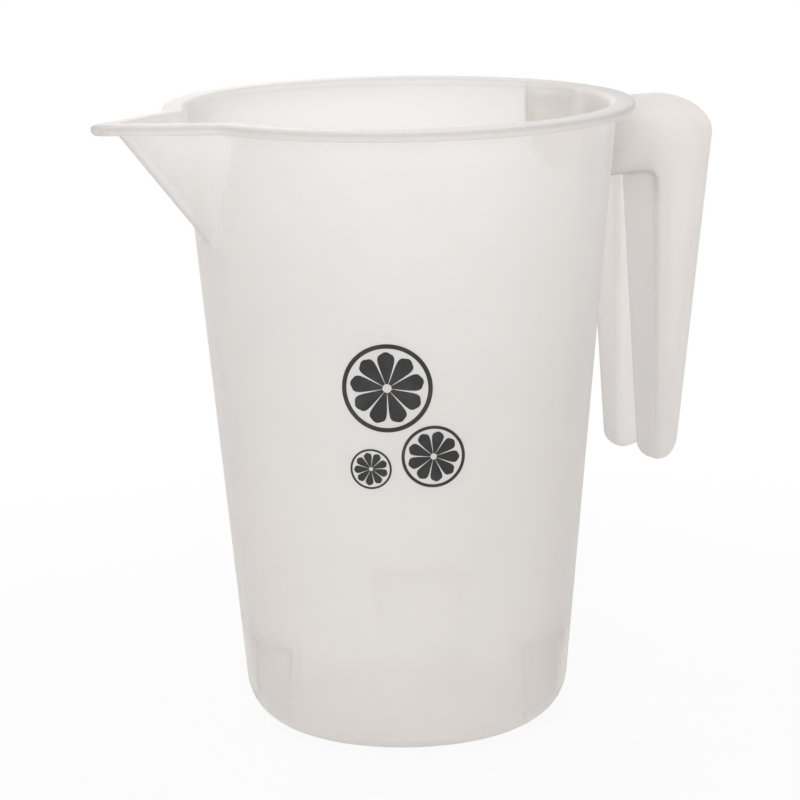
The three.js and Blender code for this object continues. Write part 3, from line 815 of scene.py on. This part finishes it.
class HandleShape:
    """Outlines of the handle about the body's axis, from the sizes of body and handle."""

    least_half = 0.0006
    root_depth = 0.8
    hollow_root_depth = 0.7
    seam = 0.0001
    flare_lap = 0.002
    end_spare = 0.004
    cut_spare = 0.03
    cut_half_width = 0.04
    round_over = 1.008
    crown_from = 0.55
    crown_span = 0.4

    def __init__(self, body, handle):
        self.h = handle
        self.taper = (body.top_radius - body.base_radius) / body.height
        self.base = body.base_radius
        self.wall = body.wall
        self.reach = body.top_radius + handle.projection
        self.top = handle.hood_top
        self.bottom = handle.hood_top - handle.hood_depth
        self.end = self.bottom - handle.grip_length
        self.shoulder = self.top - handle.shoulder_drop
        self.crown = self.top - handle.crown_drop
        self.edge = self.back(self.bottom) - handle.edge_setback

    def body_radius(self, z):
        """Outside of the body's wall."""
        return self.base + self.taper * z

    def half_width(self, z):
        """Half of the grip's width."""
        return self.h.half_width - (self.bottom - z) * math.tan(self.h.side_draft)

    def back(self, z):
        """Back of the grip."""
        return self.reach - (self.shoulder - z) * math.tan(self.h.back_draft)

    def flange_edge(self, z):
        """Free edge of a flange."""
        gap = self.h.finger_gap + (self.bottom - z) * math.tan(self.h.flange_draft)
        return self.body_radius(self.bottom) + gap

    def outline(self, z, set_in):
        """A plan outline: a flared root on the body, straight sides and a round back."""
        h = self.h
        over_shoulder = max(z - self.shoulder + set_in, 0.0) / (h.shoulder_drop * self.round_over)
        over_crown = max(z - self.crown + set_in, 0.0) / (h.crown_drop * self.round_over)
        loss = h.shoulder_length * (1 - math.sqrt(max(1 - over_shoulder**2, 0.0)))
        crown_share = math.sqrt(max(1 - over_crown**2, 0.0))
        back = self.back(min(z, self.shoulder)) - loss - set_in
        half = self.half_width(min(z, self.crown)) * crown_share - set_in
        half = max(half, self.least_half)
        lean = h.root_lean * ((self.top - max(z, self.bottom)) / h.hood_depth) ** 3
        root_y = h.root_half_width - lean - set_in
        radius = self.body_radius(max(z, self.bottom))
        start = (math.sqrt(radius**2 - root_y**2), root_y)
        waist = back - h.back_round
        flare_end = min(waist, self.edge + self.flare_lap)
        bend = ((start[0] + flare_end) / 2, half)
        depth = self.hollow_root_depth if set_in else self.root_depth
        points = [(radius * depth, root_y)]
        for i in range(17):
            t = i / 16
            x = (1 - t) ** 2 * start[0] + 2 * t * (1 - t) * bend[0] + t**2 * flare_end
            y = (1 - t) ** 2 * start[1] + 2 * t * (1 - t) * bend[1] + t**2 * half
            points.append((x, y))
        for i in range(1, 5):
            points.append((flare_end + (waist - flare_end + self.seam) * i / 4, half))
        for i in range(1, 17):
            turn = math.pi / 2 * (1 - i / 16)
            points.append((waist + self.seam + h.back_round * math.cos(turn), half * math.sin(turn)))
        mirror = [(x, -y) for x, y in reversed(points[:-1])]
        return points + mirror

    def solid(self, name, set_in):
        """The closed envelope of hood and grip, set in by a thickness."""
        low = self.end - self.end_spare - set_in
        heights = [low + (self.bottom - low) * i / 14 for i in range(15)]
        heights += [self.bottom + (self.crown - set_in - self.bottom) * i / 4 for i in range(1, 5)]
        for i in range(1, 19):
            heights.append(self.crown - set_in + self.h.crown_drop * math.sin(math.pi / 2 * i / 18))
        return loft(name, [(z, self.outline(z, set_in)) for z in heights])

    def front_cut(self):
        """What is open between the body and the grip under the hood."""
        low = self.end - self.cut_spare
        corner = self.h.corner_radius
        side = [(0.0, low), (self.edge, low)]
        side += arc_points((self.edge - corner, self.bottom - corner), corner, 0.0, math.pi / 2, 10)
        side += [(0.0, self.bottom)]
        return slab("front_cut", side, self.cut_half_width)

    def end_cut(self):
        """What is open under the round lower end."""
        h = self.h
        front_z = self.end + h.end_radius
        back_z = self.end + h.end_rise
        back_x = self.back(back_z) + 0.0003
        end_x = back_x - h.end_setback
        front_x = self.flange_edge(front_z)
        low = self.end - self.cut_spare
        side = [(0.0, front_z)]
        lowest = 1.5 * math.pi
        side += oval_points((end_x, front_z), end_x - front_x, h.end_radius, math.pi, lowest, 18)
        side += oval_points((end_x, back_z), back_x - end_x, h.end_rise, lowest, 2 * math.pi, 18)[1:]
        side += [(back_x + self.cut_spare, back_z), (back_x + self.cut_spare, low), (0.0, low)]
        return slab("end_cut", side, self.cut_half_width)

    def flange(self, name, side):
        """A flat flange inside one side of the grip, with a round free edge."""
        h = self.h
        low = self.end - self.end_spare
        high = self.bottom + h.flange_lap
        sections = []
        for i in range(25):
            z = low + (high - low) * i / 24
            share_down = min(max((self.bottom - z) / h.grip_length, 0.0), 1.0)
            step = h.flange_step + (h.flange_step_end - h.flange_step) * share_down
            outer = self.half_width(z) - step
            middle = outer - self.wall / 2
            free = self.flange_edge(z) + self.wall / 2
            edge = arc_points((free, middle), self.wall / 2, math.pi / 2, 1.5 * math.pi, 8)
            back = self.edge + h.flange_lap
            joined = self.half_width(z) - self.wall / 2
            start = self.edge + self.wall / 6
            outline = [(back, joined), (start, joined), (start, outer), *edge, (back, outer - self.wall)]
            sections.append((z, [(x, side * y) for x, y in outline]))
        return loft(name, sections)

    def body_cut(self):
        """The space that the body takes, a little inside its wall."""
        low = self.end - self.cut_spare
        high = self.top + self.cut_spare
        sections = []
        for i in range(9):
            z = low + (high - low) * i / 8
            radius = self.body_radius(z) - self.wall * 0.4
            ring = [2 * math.pi * k / 240 for k in range(240)]
            sections.append((z, [(radius * math.cos(t), radius * math.sin(t)) for t in ring]))
        return loft("body_cut", sections)

    def painted_shade_at(self, place):
        """Painted shade on the handle: along the open edge, on the flanges, inside the shell behind the
        laps, near the body and on the crown.
        """
        h = self.h
        spot = separated(place)
        x = spot["X"] - AXIS_X
        y = spot["Y"]
        z = spot["Z"]
        down = ((self.bottom - z) / h.grip_length).clamped()
        across = (x - (self.edge - h.corner_radius)).most(0.0)
        above = (z - (self.bottom - h.corner_radius)).most(0.0)
        beyond = (across * across + above * above).math("SQRT") - h.corner_radius
        upright = (down * 8.0).clamped()
        # Painted shade in a line under the hood's edge and down the grip's open edge, weaker lower down
        line = (1.0 - abs(beyond) / ((down * h.edge_spread + 1.0) * h.edge_line)).clamped()
        line = line * (1.0 - upright * EDGE_SHADE_UPRIGHT_LOSS) * (1.0 - down * EDGE_SHADE_LOW_LOSS)
        # Painted shade on the flanges, behind the open edge
        flange = (beyond / -h.edge_line).clamped()
        lean = math.tan(h.side_draft)
        side = z * lean + (h.half_width - self.bottom * lean)
        # Painted shade on the shell's inside where a flange laps behind it
        set_in = ((side - abs(y) - self.wall) / (self.wall / 2)).clamped()
        lap_shade = set_in * (1.0 - (beyond - h.flange_lap) / self.wall).clamped() * (1.0 - flange)
        # Painted shade near the body, fading away from the wall
        from_wall = (x * x + y * y).math("SQRT") - (z * self.taper + self.base)
        root = (1.0 - from_wall / h.root_shade).clamped() * (1.0 - flange)
        up = ((z - self.bottom) / h.hood_depth).clamped()
        # Painted shade on faces that look up, along the hood's crown
        facing = separated(add_node(place.tree, "ShaderNodeNewGeometry", {}, {}, "Normal"))
        crown = ((facing["Z"] - self.crown_from) / self.crown_span).clamped()
        thick = line.most(flange * (down * FLANGE_LOW_SHADE + FLANGE_SHADE))
        thick = thick.most(root * root * (1.0 - up) * HANDLE_ROOT_SHADE)
        thick = thick.most(lap_shade * (down * LAP_LOW_SHADE + LAP_SHADE))
        return thick.most(crown * crown * CROWN_SHADE)

    def web(self):
        """The web on the middle plane of the hood."""
        low = self.bottom + self.h.rib_drop
        back = self.reach + self.cut_spare
        side = [(0.0, low), (back, low), (back, self.top), (0.0, self.top)]
        return slab("web", side, self.h.rib_thickness / 2)


class PITCHER_OT_handle(bpy.types.Operator):
    """Makes the hooked handle: a crowned hood, an open grip with two flanges and a web inside."""

    bl_idname = "pitcher.handle"
    bl_label = "Handle"

    def execute(self, context):
        body = context.scene.pitcher_body
        finish = context.scene.pitcher_finish
        shape = HandleShape(body, context.scene.pitcher_handle)
        shell = shape.solid("handle_skin", 0.0)
        for cut in (shape.solid("handle_hollow", body.wall), shape.front_cut(), shape.body_cut()):
            shell = combine(shell, cut, "DIFFERENCE")
        web = combine(shape.web(), shape.solid("handle_web_limit", body.wall * 0.7), "INTERSECT")
        web = combine(web, shape.body_cut(), "DIFFERENCE")
        shell = combine(shell, web, "UNION")
        for side in (-1, 1):
            shell = combine(shell, shape.flange("flange", side), "UNION")
        shell = combine(shell, shape.end_cut(), "DIFFERENCE")
        shell.transform(Matrix.Translation((AXIS_X, 0.0, 0.0)))
        outward(shell)
        shade(shell)
        shell.materials.clear()
        plastic = milky_polypropylene("handle_polypropylene", finish, "handle_", shape.painted_shade_at)
        shell.materials.append(plastic)
        place_piece(linked("moulded_handle", shell), HANDLE_NODES)
        return {"FINISHED"}


# Print


def print_tree(sizes):
    """Slices of fruit on points: each a ring of peel round a ring of wedges, laid on the tapered wall."""
    ring_faces = {"Vertices X": 145, "Vertices Y": 4}
    wedge_faces = {"Vertices X": 22, "Vertices Y": 9}
    ring_merge = 0.0001
    corner_power = 7.0
    corner_loss = 0.85
    bulge = 0.2
    first_lean = 0.2
    next_lean = 0.45
    tree, given = new_geometry_tree("printed_slices", sizes)
    place = add_node(tree, "GeometryNodeInputPosition", {}, {})
    spot = separated(place)
    index = add_node(tree, "GeometryNodeInputIndex", {}, {})
    along = spot["X"] + 0.5
    across = spot["Y"]
    peel = given["Peel"]

    strip = add_node(tree, "GeometryNodeMeshGrid", {}, ring_faces)
    peel_radius = 1.0 - peel * (0.5 - across)
    peel_turn = along * 2.0 * math.pi
    peel_x = peel_radius * peel_turn.math("COSINE")
    peel_y = peel_radius * peel_turn.math("SINE")
    ring = moved(strip, combined(tree, peel_x, peel_y, 0.0))
    ring = add_node(tree, "GeometryNodeMergeByDistance", {}, {"Geometry": ring, "Distance": ring_merge})

    count = given["Segments"]
    room = 1.0 - peel - given["Gap"]
    patch = add_node(tree, "GeometryNodeMeshGrid", {}, wedge_faces)
    core = given["Core"]
    out_from_core = core + (room - core) * along
    rounded = (1.0 - along.math("POWER", corner_power) * corner_loss).math("SQRT")
    half_wedge = (math.pi / count).math("TANGENT") * given["Fill"]
    wedge_x = out_from_core - across * across * out_from_core * bulge
    wedge_y = across * 2.0 * half_wedge * out_from_core * rounded
    wedge = moved(patch, combined(tree, wedge_x, wedge_y, 0.0))
    hub = add_node(tree, "GeometryNodeMeshLine", {}, {"Count": count, "Offset": (0.0, 0.0, 0.0)})
    spin = combined(tree, 0.0, 0.0, index * 2.0 * math.pi / count)
    turned = {"Points": hub, "Instance": wedge, "Rotation": spin}
    wedges = add_node(tree, "GeometryNodeInstanceOnPoints", {}, turned)
    fruit = add_node(tree, "GeometryNodeJoinGeometry", {}, {})
    for part in (ring, wedges):
        tree.links.new(part.socket, fruit.socket.node.inputs[0])

    size = spot["Z"]
    scale = combined(tree, size, size, size)
    lean = combined(tree, 0.0, 0.0, index * next_lean + first_lean)
    placed = {"Points": given, "Instance": fruit, "Rotation": lean, "Scale": scale}
    slices = add_node(tree, "GeometryNodeInstanceOnPoints", {}, placed)
    real = add_node(tree, "GeometryNodeRealizeInstances", {}, {0: slices})
    level = given["Height"] + across
    radius = given["Base radius"] + given["Taper"] * level + given["Clearance"]
    turn = given["Turn"] - spot["X"] / radius
    x = given["Axis"] - radius * turn.math("SINE")
    y = 0.0 - radius * turn.math("COSINE")
    wrapped = moved(real, combined(tree, x, y, level))
    end_geometry_tree(tree, wrapped, given["Material"])
    return tree


class PITCHER_OT_print(bpy.types.Operator):
    """Prints the motif on the front of the body as a thin film of ink."""

    bl_idname = "pitcher.print"
    bl_label = "Print"

    def execute(self, context):
        body = context.scene.pitcher_body
        motif = context.scene.pitcher_print
        sizes = {
            **labelled(body, "base_radius"),
            **labelled(motif, "height", "turn", "segments", "peel", "gap", "core", "fill"),
            "Axis": AXIS_X,
            "Taper": (body.top_radius - body.base_radius) / body.height,
            "Clearance": motif.film / 2,
        }
        spots = [tuple(motif.large), tuple(motif.medium), tuple(motif.small)]
        ink = printing_ink("printing_ink", context.scene.pitcher_finish)
        piece = run_geometry_tree("printed_slices", spots, print_tree(sizes), sizes, ink)
        film = bmesh.new()
        film.from_mesh(piece.data)
        bmesh.ops.solidify(film, geom=film.faces[:], thickness=motif.film)
        film.to_mesh(piece.data)
        film.free()
        outward(piece.data)
        shade(piece.data)
        place_piece(piece)
        return {"FINISHED"}


# Stage


def seen_directly(tree):
    """1 for rays from the camera, in a reflection and through the plastic too."""
    path = add_node(tree, "ShaderNodeLightPath", {}, {})
    seen = path["Is Camera Ray"].most(path["Is Glossy Ray"])
    return seen.most(path["Is Transmission Ray"])


def studio_floor(tone):
    """Pale floor that the camera sees as white, with the object's shadow left on it."""
    near = 0.1
    fade = 0.25
    whiteness = 0.9
    material, tree = new_material("studio_floor")
    seen = seen_directly(tree)
    paper = add_node(tree, "ShaderNodeBsdfDiffuse", {}, {"Color": opaque([tone] * 3)})
    white = add_node(tree, "ShaderNodeEmission", {}, {"Color": WHITE, "Strength": 1.0})
    place = add_node(tree, "ShaderNodeTexCoord", {}, {})["Object"]
    away = add_node(tree, "ShaderNodeVectorMath", {"operation": "LENGTH"}, {0: place}, "Value")
    beyond = ((away - near) / fade).clamped()
    whitened = seen * (whiteness + beyond * (1.0 - whiteness))
    mixed = add_node(tree, "ShaderNodeMixShader", {}, {0: whitened, 1: paper, 2: white})
    add_output(tree, "ShaderNodeOutputMaterial", mixed)
    return material


def white_room(world, strength):
    """A white room: plain white to the eye, softer as a light."""
    world.use_nodes = True
    tree = world.node_tree
    tree.nodes.clear()
    seen = seen_directly(tree)
    level = strength + seen * (1.0 - strength)
    room = add_node(tree, "ShaderNodeBackground", {}, {"Color": WHITE, "Strength": level})
    add_output(tree, "ShaderNodeOutputWorld", room)


def softbox(name, place, target, size, watts):
    """A square area lamp that faces a point."""
    lamp = bpy.data.lights.new(name, "AREA")
    lamp.shape = "SQUARE"
    lamp.size = size
    lamp.energy = watts
    holder = linked(name, lamp)
    holder.visible_camera = False
    aim = Vector(target) - Vector(place)
    holder.matrix_world = Matrix.Translation(place) @ aim.to_track_quat("-Z", "Y").to_matrix().to_4x4()


def camera_matrix(stage):
    """Where the camera stands and looks."""
    pitch = stage.pitch
    pan = stage.pan
    ahead = Vector((math.sin(pan) * math.cos(pitch), math.cos(pan) * math.cos(pitch), -math.sin(pitch)))
    right = Vector((math.cos(pan), -math.sin(pan), 0.0))
    up = right.cross(ahead)
    right_rolled = math.cos(stage.roll) * right + math.sin(stage.roll) * up
    up_rolled = -math.sin(stage.roll) * right + math.cos(stage.roll) * up
    columns = Matrix((right_rolled, up_rolled, -ahead)).transposed()
    turn = Matrix.Rotation(-stage.azimuth, 3, "Z")
    eye = turn @ Vector((0.0, -stage.distance, stage.eye_height))
    return Matrix.Translation(eye + Vector((AXIS_X, 0.0, 0.0))) @ (turn @ columns).to_4x4()


class PITCHER_OT_stage(bpy.types.Operator):
    """Sets the floor, the light and the camera."""

    bl_idname = "pitcher.stage"
    bl_label = "Stage"

    def execute(self, context):
        scene = context.scene
        stage = scene.pitcher_stage
        half = 6.0
        paper_tone = 0.82
        below = 0.0002
        mesh = bpy.data.meshes.new("studio_floor")
        corners = [(-half, -half, 0.0), (half, -half, 0.0), (half, half, 0.0), (-half, half, 0.0)]
        mesh.from_pydata(corners, [], [(0, 1, 2, 3)])
        mesh.materials.append(studio_floor(paper_tone))
        floor = linked("studio_floor", mesh)
        floor.location = (0.0, 0.0, -below)
        world = bpy.data.worlds.new("white_room")
        scene.world = world
        white_room(world, stage.ambient)
        middle = (AXIS_X, 0.0, 0.09)
        for name, place, size, watts in (
            ("overhead_softbox", (0.0, 0.0, 1.4), 1.1, stage.overhead),
            ("key_softbox", (-0.82, -1.17, 0.75), 0.8, stage.key),
            ("back_softbox", (0.1, 1.4, 0.6), 1.2, stage.back),
        ):
            softbox(name, place, middle, size, watts)
        image_pixels = 800.0
        lens = bpy.data.cameras.new("camera")
        lens.sensor_width = 36.0
        lens.sensor_fit = "HORIZONTAL"
        lens.lens = stage.focal_pixels * lens.sensor_width / image_pixels
        lens.clip_start = 0.01
        lens.clip_end = 50.0
        camera = linked("camera", lens)
        camera.matrix_world = camera_matrix(stage)
        scene.camera = camera
        scene.view_settings.view_transform = "Standard"
        return {"FINISHED"}


# Panel and registration


class PITCHER_PT_panel(bpy.types.Panel):
    """Lists the pieces of the pitcher."""

    bl_idname = "PITCHER_PT_panel"
    bl_label = "Moulded Pitcher"
    bl_space_type = "VIEW_3D"
    bl_region_type = "UI"
    bl_category = "Pitcher"

    def draw(self, context):
        for operator in OPERATORS:
            self.layout.operator(operator.bl_idname)
        for group in SETTINGS:
            box = self.layout.box()
            settings = getattr(context.scene, group)
            for name in settings.__annotations__:
                box.prop(settings, name)


OPERATORS = (PITCHER_OT_body, PITCHER_OT_handle, PITCHER_OT_print, PITCHER_OT_stage)
SETTINGS = {
    "pitcher_body": PitcherBodySizes,
    "pitcher_spout": PitcherSpoutSizes,
    "pitcher_handle": PitcherHandleSizes,
    "pitcher_print": PitcherPrintSizes,
    "pitcher_finish": PitcherFinish,
    "pitcher_stage": PitcherStageSizes,
}
CLASSES = (*SETTINGS.values(), *OPERATORS, PITCHER_PT_panel)


def register():
    """Adds the classes and their settings."""
    for item in CLASSES:
        bpy.utils.register_class(item)
    for name, group in SETTINGS.items():
        setattr(bpy.types.Scene, name, bpy.props.PointerProperty(type=group))


def unregister():
    """Takes the classes and their settings away."""
    for name in SETTINGS:
        delattr(bpy.types.Scene, name)
    for item in reversed(CLASSES):
        bpy.utils.unregister_class(item)


def main():
    """Builds the pitcher and its stage."""
    register()
    bpy.ops.pitcher.body()
    bpy.ops.pitcher.handle()
    bpy.ops.pitcher.print()
    bpy.ops.pitcher.stage()


if __name__ == "__main__":
    main()
